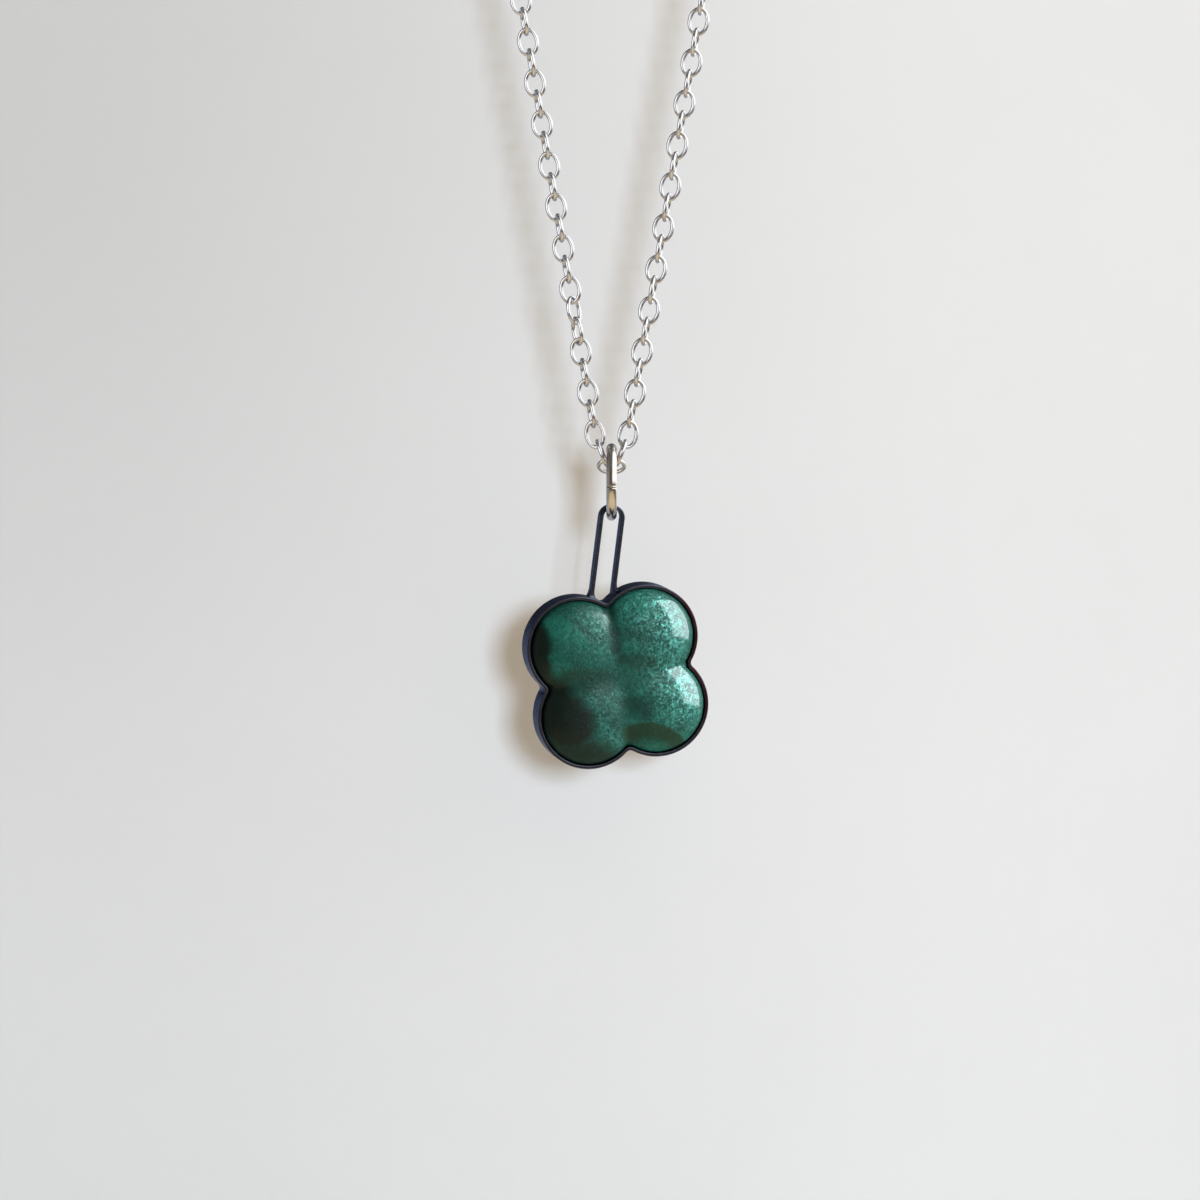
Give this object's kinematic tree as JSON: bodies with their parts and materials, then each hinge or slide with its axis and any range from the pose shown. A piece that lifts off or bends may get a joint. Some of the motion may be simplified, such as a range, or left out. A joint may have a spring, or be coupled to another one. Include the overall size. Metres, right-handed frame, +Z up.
{
  "type": "clover pendant on a cable chain necklace",
  "caption": "Necklace with a four-lobed green stone pendant in a dark steel setting with a long slotted bail, hung by a split jump ring from the middle link of a closed steel cable chain.",
  "frame": {"origin": "the underside of the clasp's barrel at the top of the necklace's loop, where the necklace hangs over a peg", "axes": "+Z up, from the pendant to the clasp; the necklace's loop lies in the XZ plane; the front of the pendant faces -Y, turned 11 degrees towards +X and leaning 6 degrees forward at its top"},
  "size_m": [0.0628, 0.0078, 0.2338],
  "materials": {
    "dark_steel": "glossy near-black plating with a blue cast on polished steel",
    "green_stone": "polished deep green aventurine with fine light flecks",
    "ring_steel": "polished steel, lightly worn",
    "chain_steel": "polished steel"
  },
  "bodies": {
    "necklace": {"chain_left": "chain_steel", "chain_right": "chain_steel", "clasp": "chain_steel"},
    "ring": {"jump_ring": "ring_steel"},
    "pendant": {"setting": "dark_steel", "stone": "green_stone"}
  },
  "joints": [
    {"name": "ring_swing", "type": "hinge", "parent": "necklace", "child": "ring", "pos_m": [0, 0, -0.20324], "axis": [1, 0, 0], "range_deg": [-45, 45]},
    {"name": "pendant_swing", "type": "hinge", "parent": "ring", "child": "pendant", "pos_m": [0, 0, -0.20778], "axis": [0, 1, 0], "range_deg": [-80, 80]}
  ]
}
